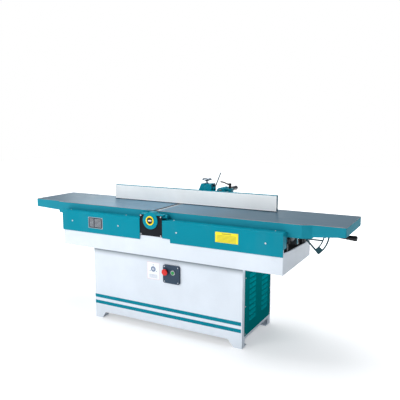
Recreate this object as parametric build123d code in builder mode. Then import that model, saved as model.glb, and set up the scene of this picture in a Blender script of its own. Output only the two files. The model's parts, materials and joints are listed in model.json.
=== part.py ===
from build123d import *
import math
import os

# Long-bed surface planer (jointer) with a 400 mm cutter class, in millimetres.
# Origin: on the floor at the centre of the four anchor holes, +X towards the infeed end,
# +Y away from the operator, +Z up.

# ---- driving dimensions ----
table_left = -1252.0
table_right = 1230.0
table_top = 857.0
table_half = 229.0
narrow_front = -199.0
cutter_x = -80.0
cut_radius = 60.0
cutter_z = table_top - cut_radius
gap_half = 22.0
skin = 22.0
wall = 12.0

bed_left = -887.0
bed_right = 880.0
bed_front = -287.0
bed_back = 281.0
bed_bottom = 541.0
bed_sheet = 8.0

cover_front = -295.5
cover_bottom = 656.0
cover_top = 806.0
cover_sheet = 2.5
cover_screw_x = (-788, -358, 129, 767)
ledge_back = -232.0

stand_half = 608.0
stand_front_y = -270.5
stand_back_y = 241.5
stand_sheet = 3.0
foot_height = 50.0

switch_left = 12.0
switch_right = 144.0
switch_bottom = 366.0
switch_top = 495.0
switch_front = stand_front_y - 14.0

plate_left = -170.0
plate_right = 12.0
plate_bottom = 687.0
plate_top = 835.0

shaft_r = 12.0
throw = 20.52
throw_start = 13.0
disc_r = 36.0
outer_shaft_x = 868.0
inner_shaft_x = 168.0
shaft_z = 743.0
rib_y = 150.0
crank_len = 58.0
lever_y = 100.0

fence_left = -692.0
fence_right = 686.0
fence_front = 112.0
fence_face_t = 6.0
fence_t = 28.5
fence_bottom = table_top + 1.5
fence_top = 972.0
bar_x = 230.0
bar_z = 963.0
bar_r = 17.5
carriage_x = 108.0
carriage_y = 187.0
tilt_y = fence_front
tilt_z = fence_bottom
clamp_z = 977.0

pulley_y = 322.0
motor_x = -80.0
motor_z = 290.0
cutter_pulley_r = 45.0
motor_pulley_r = 87.0

os.makedirs("parts", exist_ok=True)


def keep(builder, node):
    """Label one finished piece and write it as its own file."""
    builder.part.label = node
    export_step(builder.part, f"parts/{node}.step")


def block(x0, x1, y0, y1, z0, z1, mode=Mode.ADD):
    """A box given by its six sides."""
    with Locations(((x0 + x1) / 2, (y0 + y1) / 2, (z0 + z1) / 2)):
        Box(x1 - x0, y1 - y0, z1 - z0, mode=mode)


def rod(along, x, y, z, radius, length, mode=Mode.ADD):
    """A cylinder centred on a point, along one of the three axes."""
    turn = {"x": (0, 90, 0), "y": (90, 0, 0), "z": (0, 0, 0)}[along]
    with Locations(Location((x, y, z), turn)):
        Cylinder(radius, length, mode=mode)


def heads(along, points, radius, height):
    """A group of separate round screw heads on one axis direction."""
    for x, y, z in points:
        rod(along, x, y, z, radius, height)


# ---------------------------------------------------------------- stand
def stand_side(y_out, inward, node):
    """One long wall of the stand with its two corner returns and trapezoid feet."""
    y_in = y_out + inward * stand_sheet
    low, high = sorted((y_out, y_in))
    return_y = y_out + inward * 46.0
    r_low, r_high = sorted((y_out, return_y))
    with BuildPart() as wall_part:
        with BuildSketch(Plane.XZ.offset(-high)) as face:
            with BuildLine():
                Polyline(
                    (-stand_half, 0), (-stand_half + 64, 0), (-stand_half + 94, foot_height),
                    (stand_half - 101, foot_height), (stand_half - 61, 0), (stand_half, 0),
                    (stand_half, bed_bottom), (-stand_half, bed_bottom), close=True)
            make_face()
        extrude(amount=high - low)
        for side in (-1, 1):
            x_out = side * stand_half
            x_low, x_high = sorted((x_out, x_out - side * stand_sheet))
            block(x_low, x_high, r_low, r_high, 0, bed_bottom)
        if inward < 0:
            rod("y", motor_x, (low + high) / 2, motor_z, 30, 10, mode=Mode.SUBTRACT)
        corners = wall_part.edges().filter_by(Axis.Z)
        on_face = [e for e in corners if abs(e.center().Y - y_out) < 0.1]
        outer = [e for e in on_face if abs(abs(e.center().X) - stand_half) < 0.1]
        fillet(outer, 2.0)
    keep(wall_part, node)


def stand_left_panel():
    with BuildPart() as left:
        block(-stand_half + 3, -stand_half + 6, stand_front_y + 3, stand_back_y - 3, foot_height, bed_bottom - 8)
        block(-stand_half + 6, -stand_half + 26, stand_front_y + 3, stand_back_y - 3, foot_height, foot_height + 3)
    keep(left, "stand_left_panel")


def stand_bottom_rail():
    """Rail under the open right side."""
    with BuildPart() as frame:
        block(stand_half - 40, stand_half - 3, stand_front_y + 34, stand_back_y - 34, foot_height, foot_height + 22)
        block(stand_half - 37, stand_half - 6, stand_front_y + 34, stand_back_y - 34,
              foot_height + 3, foot_height + 22, mode=Mode.SUBTRACT)
    keep(frame, "stand_bottom_rail")


def stand_top_plate():
    with BuildPart() as top:
        block(-stand_half + 3, stand_half - 3, stand_front_y + 3, stand_back_y - 3, bed_bottom - 8, bed_bottom)
        block(stand_half - 6, stand_half - 3, stand_front_y + 34, stand_back_y - 34, bed_bottom - 38, bed_bottom)
        block(cutter_x - 110, cutter_x + 110, -170, 170, bed_bottom - 8, bed_bottom, mode=Mode.SUBTRACT)
    keep(top, "stand_top_plate")


def foot_pads():
    """Four anchor pads welded in the feet, each with one anchor hole."""
    with BuildPart() as pads:
        for sx in (-1, 1):
            for sy in (-1, 1):
                y_wall = stand_front_y + 3 if sy < 0 else stand_back_y - 3
                x0, x1 = sorted((sx * (stand_half - 3), sx * (stand_half - 63)))
                y0, y1 = sorted((y_wall, y_wall - sy * 75))
                block(x0, x1, y0, y1, 0, 8)
        with Locations(*[(sx * 570, sy * 205, 4) for sx in (-1, 1) for sy in (-1, 1)]):
            Cylinder(7, 8, mode=Mode.SUBTRACT)
    keep(pads, "foot_pads")


def vent_panel():
    """Screwed side panel with two columns of pressed louvres."""
    x0 = stand_half
    with BuildPart() as panel:
        block(x0, x0 + 3, stand_front_y + 36, stand_back_y - 14, foot_height + 24, bed_bottom - 12)
        for y_mid in (-107, 113):
            for row in range(9):
                z_mid = 172 + 37 * row
                with BuildSketch(Plane.XZ.offset(-(y_mid + 54))) as lip:
                    with BuildLine():
                        Polyline((x0 + 2.9, z_mid + 11), (x0 + 9, z_mid - 9), (x0 + 9, z_mid - 11),
                                 (x0 + 2.9, z_mid - 11), close=True)
                    make_face()
                extrude(amount=108)
                block(x0 - 1, x0 + 7, y_mid - 50, y_mid + 50, z_mid - 11.5, z_mid - 8, mode=Mode.SUBTRACT)
    keep(panel, "vent_panel")


def cable_gland():
    """Cable entry of the rear wall."""
    with BuildPart() as gland:
        rod("y", 420, stand_back_y + 5, 120, 15, 10)
        rod("y", 420, stand_back_y + 16, 120, 11, 14)
        rod("y", 420, stand_back_y + 12, 120, 6, 24, mode=Mode.SUBTRACT)
    keep(gland, "cable_gland")


# ---------------------------------------------------------------- switch
def switch_parts():
    with BuildPart() as box:
        block(switch_left, switch_right, switch_front, stand_front_y, switch_bottom, switch_top)
        fillet(box.edges().filter_by(Axis.Y), 12)
        block(switch_left + 5, switch_right - 5, switch_front + 3, stand_front_y,
              switch_bottom + 5, switch_top - 5, mode=Mode.SUBTRACT)
        for x in (35, 94):
            rod("y", x, switch_front, 446, 12, 8, mode=Mode.SUBTRACT)
    keep(box, "switch_box")
    with BuildPart() as collars:
        for x in (35, 94):
            rod("y", x, switch_front - 3, 446, 17, 6)
            rod("y", x, switch_front - 3, 446, 12.5, 8, mode=Mode.SUBTRACT)
    keep(collars, "button_collars")
    with BuildPart() as stop:
        rod("y", 35, switch_front - 3, 446, 11.5, 20)
        with Locations(Location((35, switch_front - 18, 446), (90, 0, 0))):
            Cylinder(23, 10)
        fillet(stop.edges().filter_by(GeomType.CIRCLE).sort_by(Axis.Y)[0], 4)
    keep(stop, "stop_button")
    with BuildPart() as start:
        rod("y", 94, switch_front - 1, 446, 11.5, 16)
        fillet(start.edges().filter_by(GeomType.CIRCLE).sort_by(Axis.Y)[0], 2)
    keep(start, "start_button")


# ---------------------------------------------------------------- bed
def bed_box():
    """Open-topped welded bed: floor, four walls, raised centre for the cutterhead."""
    with BuildPart() as bed:
        block(bed_left, bed_right, bed_front, bed_back, bed_bottom, 700)
        block(bed_left + bed_sheet, bed_right - bed_sheet, bed_front + bed_sheet, bed_back - bed_sheet,
              bed_bottom + bed_sheet, 701, mode=Mode.SUBTRACT)
        fillet(bed.edges().filter_by(Axis.Z).group_by(Axis.Y)[0], 6)
        for x_start in (bed_left - 1, bed_right - bed_sheet - 1):
            with BuildSketch(Plane.YZ.offset(x_start)) as slope:
                with BuildLine():
                    Polyline((bed_front + bed_sheet, 701), (bed_front + bed_sheet, 680), (-150, 668),
                             (bed_back - 6, 649), (bed_back + 1, 620), (bed_back + 1, 701), close=True)
                make_face()
            extrude(amount=bed_sheet + 2, mode=Mode.SUBTRACT)
        block(bed_left - 1, cutter_x - 130, bed_back - 9, bed_back + 1, 649, 701, mode=Mode.SUBTRACT)
        block(330, bed_right + 1, bed_back - 9, bed_back + 1, 649, 701, mode=Mode.SUBTRACT)
        block(cutter_x - 105, cutter_x + 105, -165, 165, bed_bottom - 1, bed_bottom + 9, mode=Mode.SUBTRACT)
        for x in cover_screw_x:
            block(x - 15, x + 15, cover_front + cover_sheet, bed_front, 664, 694)
    keep(bed, "bed_box")


def cover(x0, x1, end_x, node, notch):
    """Sheet cover with a top ledge, an end flange and a bottom return."""
    with BuildPart() as sheet:
        block(x0, x1, cover_front, ledge_back, cover_bottom, cover_top)
        edge = sheet.edges().filter_by(Axis.X).group_by(Axis.Z)[-1].sort_by(Axis.Y)[0]
        fillet(edge, 4)
        inner_left = x0 + cover_sheet if end_x == x0 else x0 - 1
        inner_right = x1 - cover_sheet if end_x == x1 else x1 + 1
        block(inner_left, inner_right, cover_front + cover_sheet, ledge_back + 1,
              cover_bottom - 1, cover_top - cover_sheet, mode=Mode.SUBTRACT)
        if end_x == x1:
            block(x1 - cover_sheet - 1, x1 + 1, bed_front - 0.5, ledge_back + 1,
                  cover_bottom - 1, 702, mode=Mode.SUBTRACT)
        else:
            block(x0 - 1, x0 + cover_sheet + 1, bed_front - 0.5, ledge_back + 1,
                  cover_bottom - 1, 702, mode=Mode.SUBTRACT)
        if notch:
            block(x0 - 1, x0 + 62, cover_front - 1, ledge_back + 1, cover_bottom - 1, 682, mode=Mode.SUBTRACT)
    keep(sheet, node)


def fasteners():
    """Button-head screws of the covers and bearing plate, and of the side panel and switch."""
    face = [(x, cover_front - 1.5, 733) for x in cover_screw_x]
    top = [(x, -245, cover_top + 1.5) for x in (-842, -321, 82, 812)]
    plate = [(x, bed_front - 5.5, z) for x in (plate_left + 8, plate_right - 10)
             for z in (plate_bottom + 8, plate_top - 8)]
    with BuildPart() as screws:
        heads("y", face, 6.0, 3.0)
        heads("z", top, 5.0, 3.0)
        heads("y", plate, 5.0, 3.0)
    keep(screws, "cover_screws")
    with BuildPart() as panel_screws:
        for y in (stand_front_y + 44, stand_back_y - 22):
            heads("x", [(stand_half + 4.25, y, z) for z in (88, 278, 470)], 5.0, 2.5)
        corners = [(x, switch_front - 1, z) for x in (switch_left + 12, switch_right - 12)
                   for z in (switch_bottom + 12, switch_top - 12)]
        heads("y", corners, 4.0, 2.0)
    keep(panel_screws, "panel_screws")


def rating_plate():
    """Blank rating plate."""
    with BuildPart() as name_plate:
        block(-632, -499, cover_front - 1.2, cover_front, 693, 776)
    keep(name_plate, "rating_plate")


def chip_chute():
    """Folded sheet that leads chips from under the cutter to the rear of the stand."""
    with BuildPart() as chute:
        with BuildSketch(Plane.YZ.offset(cutter_x - 100)) as fold:
            with BuildLine():
                Polyline((-150, 545), (-147, 545), (150, 395), (150, 392), (147, 392), (-150, 541.5), close=True)
            make_face()
        extrude(amount=200)
    keep(chute, "chip_chute")


# ---------------------------------------------------------------- cutterhead
def bearing_housings():
    """Front and rear bearing housings standing on the bed floor."""
    floor_z = bed_bottom + bed_sheet
    with BuildPart() as front:
        block(cutter_x - 62, cutter_x + 62, bed_front + bed_sheet, -240, floor_z, cutter_z)
        block(plate_left + 2, plate_right - 2, bed_front, -262, 701, plate_top)
        rod("y", cutter_x, -269, cutter_z, 60, 60)
        block(cutter_x - 74, plate_right + 13, -297, -240, 836, 844)
        rod("x", plate_right + 14, -262, 828.5, 13.5, 34)
        rod("y", cutter_x, -269, cutter_z, 19, 62, mode=Mode.SUBTRACT)
        rod("y", cutter_x, -248.5, cutter_z, 36, 17, mode=Mode.SUBTRACT)
    keep(front, "front_bearing_housing")
    with BuildPart() as rear:
        block(cutter_x - 62, cutter_x + 62, 240, bed_back - bed_sheet, floor_z, cutter_z)
        rod("y", cutter_x, 258, cutter_z, 60, 36)
        rod("y", cutter_x, 258, cutter_z, 19, 40, mode=Mode.SUBTRACT)
        rod("y", cutter_x, 248.5, cutter_z, 36, 17, mode=Mode.SUBTRACT)
    keep(rear, "rear_bearing_housing")
    with BuildPart() as bearings:
        for y in (-248.5, 248.5):
            rod("y", cutter_x, y, cutter_z, 35.97, 16.9)
            rod("y", cutter_x, y, cutter_z, 17.55, 20, mode=Mode.SUBTRACT)
    keep(bearings, "cutter_bearings")
    with BuildPart() as ring:
        rod("y", cutter_x, -301, cutter_z, 32, 4)
        rod("y", cutter_x, -301, cutter_z, 23, 6, mode=Mode.SUBTRACT)
        chamfer(ring.edges().filter_by(GeomType.CIRCLE).group_by(Axis.Y)[0], 1)
    keep(ring, "bearing_cap_ring")


def bearing_cover_plate():
    with BuildPart() as plate:
        block(plate_left, plate_right, bed_front - 4, bed_front, plate_bottom, plate_top)
        rod("y", cutter_x, bed_front - 2, cutter_z, 60.2, 10, mode=Mode.SUBTRACT)
    keep(plate, "bearing_cover_plate")


def cutterhead():
    """Three-knife block with journals, its knives, wedges and wedge screws."""
    knife_angles = (60, 180, 300)
    slot_plane = [Plane((cutter_x, -205, cutter_z), x_dir=(math.cos(math.radians(a)), 0, -math.sin(math.radians(a))),
                        z_dir=(0, 1, 0)) for a in knife_angles]
    with BuildPart() as head:
        rod("y", cutter_x, 0, cutter_z, 58.5, 410)
        for plane in slot_plane:
            with BuildSketch(plane) as slot:
                with Locations((0, -48)):
                    Rectangle(18, 26)
            extrude(amount=410, mode=Mode.SUBTRACT)
        rod("y", cutter_x, -222, cutter_z, 22, 34)
        rod("y", cutter_x, -267, cutter_z, 17.5, 58)
        rod("y", cutter_x, 222, cutter_z, 22, 34)
        rod("y", cutter_x, 292, cutter_z, 17.5, 108)
        block(cutter_x - 15, cutter_x + 15, -301, -296, cutter_z - 4.5, cutter_z + 4.5)
    keep(head, "cutter_block")
    with BuildPart() as knives:
        for plane in slot_plane:
            with BuildSketch(plane) as blade:
                with Locations((7.4, -47.2)):
                    Rectangle(3, 24)
            extrude(amount=410)
    keep(knives, "planer_knives")
    with BuildPart() as wedges:
        for plane in slot_plane:
            with BuildSketch(plane) as wedge:
                with Locations((-1.6, -46)):
                    Rectangle(14.6, 21)
            extrude(amount=410)
        for angle in knife_angles:
            tilt = math.radians(angle)
            centre_x = cutter_x + 55 * math.sin(tilt)
            centre_z = cutter_z + 55 * math.cos(tilt)
            with Locations(*[Location((centre_x, y, centre_z), (0, angle, 0)) for y in range(-170, 171, 68)]):
                Cylinder(4, 12, mode=Mode.SUBTRACT)
    keep(wedges, "knife_wedges")


def grooved_pulley(node, x, z, radius, bore):
    """Two-groove belt pulley made by turning its half section."""
    rim_half = 22
    with BuildPart() as wheel:
        with BuildSketch(Plane((x, pulley_y, z), x_dir=(1, 0, 0), z_dir=(0, 0, 1))) as section:
            with BuildLine():
                Polyline((bore, -rim_half), (radius, -rim_half), (radius, -17.5), (radius - 10, -14.5),
                         (radius - 10, -5.5), (radius, -2.5), (radius, 2.5), (radius - 10, 5.5),
                         (radius - 10, 14.5), (radius, 17.5), (radius, rim_half), (bore, rim_half), close=True)
            make_face()
        revolve(axis=Axis((x, pulley_y, z), (0, 1, 0)))
    keep(wheel, node)


def drive():
    """Motor, its mounting, the two pulleys, belts and their guard."""
    grooved_pulley("cutter_pulley", cutter_x, cutter_z, cutter_pulley_r, 17.5)
    grooved_pulley("motor_pulley", motor_x, motor_z, motor_pulley_r, 14)
    with BuildPart() as belts:
        for y in (pulley_y - 14, pulley_y + 6):
            with BuildSketch(Plane.XZ.offset(-(y + 8))) as loop:
                with Locations((cutter_x, cutter_z)):
                    Circle(cutter_pulley_r + 1)
                with Locations((motor_x, motor_z)):
                    Circle(motor_pulley_r + 1)
                make_hull()
                with BuildSketch(mode=Mode.PRIVATE) as inner:
                    with Locations((cutter_x, cutter_z)):
                        Circle(cutter_pulley_r - 8.5)
                    with Locations((motor_x, motor_z)):
                        Circle(motor_pulley_r - 8.5)
                    make_hull()
                add(inner.sketch, mode=Mode.SUBTRACT)
            extrude(amount=8)
    keep(belts, "drive_belts")
    with BuildPart() as guard:
        for offset, y0, mode in ((14, bed_back, Mode.ADD), (11.5, bed_back - 1, Mode.SUBTRACT)):
            y1 = 352 if mode == Mode.ADD else 349.5
            with BuildSketch(Plane.XZ.offset(-y1)) as outline:
                with Locations((cutter_x, cutter_z - 6)):
                    Circle(cutter_pulley_r + offset)
                with Locations((motor_x, motor_z)):
                    Circle(motor_pulley_r + offset)
                make_hull()
            extrude(amount=y1 - y0, mode=mode)
    keep(guard, "belt_guard")
    with BuildPart() as motor:
        rod("y", motor_x, 60, motor_z, 95, 260)
        for step in range(24):
            angle = 15 * step
            with Locations(Location((motor_x, 60, motor_z), (0, angle, 0))):
                with Locations((0, 0, 96)):
                    Box(4, 220, 8)
        block(motor_x - 90, motor_x + 90, -40, 160, 190, 215)
        rod("y", motor_x, 190, motor_z, 40, 20)
        rod("y", motor_x, 150, motor_z, 14.05, 120, mode=Mode.SUBTRACT)
    keep(motor, "motor_body")
    with BuildPart() as rotor:
        rod("y", motor_x, 217, motor_z, 14, 254)
    keep(rotor, "motor_shaft")
    with BuildPart() as mount:
        block(motor_x - 120, motor_x + 120, -60, 180, 182, 190)
        for x in (motor_x - 100, motor_x + 100):
            block(x - 20, x + 20, stand_front_y + 3, stand_back_y - 3, 140, 182)
            block(x - 15, x + 21, stand_front_y + 3, stand_back_y - 3, 139, 177, mode=Mode.SUBTRACT)
    keep(mount, "motor_mount")


# ---------------------------------------------------------------- tables
def table_casting(node, outline, taper, pockets, x_lip, legs):
    """Ribbed cast table: plan outline, tapered end, pockets from below, lip rebate, legs."""
    with BuildPart() as table:
        with BuildSketch(Plane.XY.offset(table_top - 86)) as plan:
            with BuildLine():
                Polyline(*outline, close=True)
            make_face()
        extrude(amount=86)
        fillet(table.edges().filter_by(Axis.Z).group_by(Axis.X)[0 if node == "outfeed_table" else -1], 8)
        with BuildSketch(Plane.XZ.offset(-table_half - 1)) as wedge:
            with BuildLine():
                Polyline(*taper, close=True)
            make_face()
        extrude(amount=2 * table_half + 2, mode=Mode.SUBTRACT)
        for x0, x1 in pockets:
            front = narrow_front if abs((x0 + x1) / 2) > 970 else -table_half
            mid = (front + table_half) / 2
            block(x0, x1, front + wall, mid - 6, table_top - 90, table_top - skin, mode=Mode.SUBTRACT)
            block(x0, x1, mid + 6, table_half - wall, table_top - 90, table_top - skin, mode=Mode.SUBTRACT)
        block(x_lip[0], x_lip[1], -table_half - 1, table_half + 1, table_top - 12, table_top + 1, mode=Mode.SUBTRACT)
        for leg in legs:
            block(*leg)
        if node == "infeed_table":
            for shaft_x in (inner_shaft_x, outer_shaft_x):
                angle = math.radians(throw_start)
                rod("y", shaft_x + throw * math.sin(angle), 0, shaft_z + throw * math.cos(angle),
                    disc_r + 1.4, 340, mode=Mode.SUBTRACT)
    keep(table, node)


def tables():
    inner = cutter_x - 66
    outline = [(table_left, narrow_front), (-981, narrow_front), (-981, -table_half), (inner, -table_half),
               (inner, table_half), (table_left, table_half)]
    taper = [(table_left - 1, 770), (-981, 770), (-981, 781), (table_left - 1, 794)]
    pockets = [(-1240, -1110), (-1098, -970), (-958, -760), (-748, -560), (-548, -350), (-338, -210)]
    legs = [(x - 45, x + 45, y - 20, y + 20, 700, table_top - skin) for x in (-860, -230) for y in (-150, 150)]
    table_casting("outfeed_table", outline, taper, pockets, (cutter_x - 80, inner + 1), legs)
    inner = cutter_x + 66
    outline = [(inner, -table_half), (971, -table_half), (1027, narrow_front), (table_right, narrow_front),
               (table_right, table_half), (inner, table_half)]
    taper = [(1027, 770), (table_right + 1, 770), (table_right + 1, 797), (1027, 779)]
    pockets = [(40, 96), (240, 420), (432, 612), (624, 792), (944, 1012), (1032, 1120), (1132, 1218)]
    legs = [(x - 54, x + 54, y - 8, y + 8, shaft_z - 30, table_top - skin)
            for x in (inner_shaft_x, outer_shaft_x) for y in (-rib_y, rib_y)]
    pockets += [(x - 60, x + 64) for x in (inner_shaft_x, outer_shaft_x)]
    table_casting("infeed_table", outline, taper, pockets, (inner - 1, cutter_x + 80), legs)
    for side, node in ((-1, "outfeed"), (1, "infeed")):
        with BuildPart() as lip:
            with BuildSketch(Plane.XZ.offset(-table_half)) as section:
                with BuildLine():
                    Polyline(*[(cutter_x + side * a, b) for a, b in (
                        (gap_half, table_top), (80, table_top), (80, table_top - 12), (44, table_top - 12),
                        (gap_half, table_top - 2))], close=True)
                make_face()
            extrude(amount=2 * table_half)
            with Locations(*[(cutter_x + side * 73, y, table_top) for y in range(-200, 201, 80)]):
                CounterSinkHole(3.3, 6.5, depth=12)
        keep(lip, f"{node}_lip")
        with BuildPart() as screws:
            with Locations(*[(cutter_x + side * 73, y, table_top - 2.1) for y in range(-200, 201, 80)]):
                Cone(3.2, 6.1, 3.4)
            with Locations(*[(cutter_x + side * 73, y, table_top - 6.9) for y in range(-200, 201, 80)]):
                Cylinder(3.2, 6.2)
        keep(screws, f"{node}_lip_screws")


def table_posts():
    """Posts on the bed floor: outfeed table, eccentric shaft bearings, depth quadrant."""
    floor_z = bed_bottom + bed_sheet
    with BuildPart() as posts:
        for x in (-860, -230):
            for y in (-150, 150):
                block(x - 26 + (10 if x < -500 else 0), x + 36, y - 28, y + 28, floor_z, 700)
                block(x - 16, x + 36, y - 18, y + 18, floor_z + 12, 688, mode=Mode.SUBTRACT)
        for x in (inner_shaft_x, outer_shaft_x):
            for y in (-186, 186):
                block(x - 40, x + 4, y - 12, y + 12, floor_z, 722)
                block(x - 18, x + 18, y - 12, y + 12, 722, shaft_z)
                rod("y", x, y, shaft_z, 18, 24)
                rod("y", x, y, shaft_z, shaft_r + 0.05, 26, mode=Mode.SUBTRACT)
        block(846, bed_right - bed_sheet, 126, 138, floor_z, 760)
        rod("y", outer_shaft_x, 132, shaft_z, 14, 20, mode=Mode.SUBTRACT)
    keep(posts, "table_posts")


def depth_gear():
    """Lever, eccentric shafts, link and quadrant that lower the infeed table."""
    angle = math.radians(throw_start)
    for shaft_x, node in ((outer_shaft_x, "lever_shaft"), (inner_shaft_x, "inner_shaft")):
        with BuildPart() as shaft:
            rod("y", shaft_x, 0, shaft_z, shaft_r, 404)
            for y in (-rib_y, rib_y):
                rod("y", shaft_x + throw * math.sin(angle), y, shaft_z + throw * math.cos(angle), disc_r, 20)
            rod("y", shaft_x, 0, shaft_z, 22, 14)
            block(shaft_x - 9, shaft_x + 9, -7, 7, shaft_z - crank_len, shaft_z - 10)
            rod("y", shaft_x, 0, shaft_z - crank_len, 12, 14)
            rod("y", shaft_x, 14, shaft_z - crank_len, 6, 28)
        keep(shaft, node)
    with BuildPart() as link:
        block(inner_shaft_x, outer_shaft_x, 9, 19, shaft_z - crank_len - 9, shaft_z - crank_len + 9)
        for x in (inner_shaft_x, outer_shaft_x):
            rod("y", x, 14, shaft_z - crank_len, 14, 10)
        for x in (inner_shaft_x, outer_shaft_x):
            rod("y", x, 14, shaft_z - crank_len, 6.06, 12, mode=Mode.SUBTRACT)
    keep(link, "shaft_link")


def lever_point(distance):
    """A point on the depth lever's centre line, which leans 1.6 degrees down."""
    lean = math.radians(1.6)
    return (outer_shaft_x + distance * math.cos(lean), lever_y, shaft_z - distance * math.sin(lean))


def depth_lever():
    with BuildPart() as lever:
        rod("y", outer_shaft_x, lever_y, shaft_z, 22, 24)
        with Locations(Location(lever_point(130), (0, 91.6, 0))):
            Cylinder(8, 240)
        with Locations(Location(lever_point(167.5), (90, 0, 0))):
            Cylinder(15, 20)
            Cylinder(5.06, 30, mode=Mode.SUBTRACT)
        rod("y", outer_shaft_x, lever_y, shaft_z, shaft_r, 30, mode=Mode.SUBTRACT)
    keep(lever, "depth_lever")
    with BuildPart() as grip:
        with Locations(Location(lever_point(300), (0, 91.6, 0))):
            Cone(11, 18, 96)
        with Locations(Location(lever_point(361), (0, 91.6, 0))):
            Cone(18, 14, 26)
        fillet(grip.edges().filter_by(GeomType.CIRCLE).sort_by(Axis.X)[-1], 4)
        with Locations(Location(lever_point(246), (0, 91.6, 0))):
            Cylinder(8, 12, mode=Mode.SUBTRACT)
    keep(grip, "lever_grip")
    x, y, z = lever_point(167.5)
    with BuildPart() as knob:
        rod("y", x, 106, z, 5, 66)
        rod("y", x, 80, z, 17, 18)
        rod("y", x, 131, z, 14, 8)
        fillet(knob.edges().filter_by(GeomType.CIRCLE).sort_by(Axis.Y)[0], 4)
    keep(knob, "lever_lock_knob")


def depth_quadrant():
    """Flat quadrant plate with a curved slot."""
    plate = Plane((outer_shaft_x, 126, shaft_z), x_dir=(1, 0, 0), z_dir=(0, -1, 0))
    with BuildPart() as quadrant:
        with BuildSketch(plate) as outline:
            Circle(189)
            with BuildLine():
                Polyline((-15, -14), (161, -195), (300, -195), (300, 18), (0, 18), (-20, 8), close=True)
            make_face(mode=Mode.INTERSECT)
            Circle(19)
        extrude(amount=8)
        with BuildSketch(plate) as slot:
            Circle(179)
            Circle(156, mode=Mode.SUBTRACT)
            with BuildLine():
                Polyline((0, 0), (300, -238), (300, 14), close=True)
            make_face(mode=Mode.INTERSECT)
        extrude(amount=8, mode=Mode.SUBTRACT)
        with BuildSketch(plate) as windows:
            Circle(148)
            with BuildLine():
                Polyline((40, -56), (200, -56), (200, -200), (105, -123), close=True)
            make_face(mode=Mode.INTERSECT)
        extrude(amount=8, mode=Mode.SUBTRACT)
        with BuildSketch(plate) as upper:
            Circle(148)
            with BuildLine():
                Polyline((33, -47), (200, -47), (200, 4), (26, 4), (26, -39), close=True)
            make_face(mode=Mode.INTERSECT)
        extrude(amount=8, mode=Mode.SUBTRACT)
        rod("y", outer_shaft_x, 122, shaft_z, 14, 20, mode=Mode.SUBTRACT)
    keep(quadrant, "depth_quadrant")


# ---------------------------------------------------------------- fence
def fence_parts():
    with BuildPart() as body:
        block(fence_left, fence_right, fence_front + fence_face_t, fence_front + fence_t, fence_bottom, fence_top)
        edges = body.edges().filter_by(Axis.X).group_by(Axis.Z)[-1]
        fillet(edges, 2)
        for x0 in range(-660, 640, 164):
            block(x0, x0 + 148, fence_front + 16, fence_front + fence_t + 1, fence_bottom + 14, fence_top - 14,
                  mode=Mode.SUBTRACT)
        block(70, 150, fence_front + 14, fence_front + fence_t, fence_bottom + 2, fence_top - 2)
    keep(body, "fence_body")
    with BuildPart() as face:
        block(fence_left, fence_right, fence_front, fence_front + fence_face_t, fence_bottom, fence_top - 3)
    keep(face, "fence_face")
    with BuildPart() as quadrant:
        with BuildSketch(Plane.YZ.offset(101)) as outline:
            with Locations((tilt_y, tilt_z)):
                Circle(154.5)
            with BuildLine():
                Polyline((140.5, 866), (140.5, 962), (152.5, 974), (152.5, 1020), (300, 1020), (300, 874), (262, 866),
                         close=True)
            make_face(mode=Mode.INTERSECT)
        extrude(amount=14)
        with BuildSketch(Plane.YZ.offset(100)) as slot:
            with Locations((tilt_y, tilt_z)):
                Circle(149.4)
                Circle(132.2, mode=Mode.SUBTRACT)
            with BuildLine():
                Polyline((tilt_y, tilt_z), (tilt_y + 110, tilt_z + 222), (tilt_y + 300, tilt_z + 300),
                         (tilt_y + 300, tilt_z + 38), close=True)
            make_face(mode=Mode.INTERSECT)
        extrude(amount=16, mode=Mode.SUBTRACT)
    keep(quadrant, "tilt_quadrant")


def fence_carriage():
    with BuildPart() as carriage:
        with BuildSketch(Plane.XZ.offset(-222)) as front:
            with BuildLine():
                Polyline((46, 890), (54, 962), (78, 1018), (161, 1018), (165, 890), close=True)
            make_face()
        extrude(amount=70)
        fillet(carriage.edges().group_by(Axis.Z)[-1], 3)
        block(46, 262, 143.5, 157.5, 926, 969)
        block(100.4, 115.6, 140, 230, 880, 1010.5, mode=Mode.SUBTRACT)
        rod("x", 108, carriage_y, clamp_z, 8.06, 160, mode=Mode.SUBTRACT)
        rod("z", carriage_x, carriage_y, 1010, 8.06, 24, mode=Mode.SUBTRACT)
        rod("x", 150, carriage_y, 1007, 4.06, 40, mode=Mode.SUBTRACT)
    keep(carriage, "fence_carriage")
    with BuildPart() as bar:
        rod("y", bar_x, (157.5 + 444) / 2, bar_z, bar_r, 444 - 157.5)
        chamfer(bar.edges().filter_by(GeomType.CIRCLE), 1.5)
    keep(bar, "fence_guide_bar")


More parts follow.
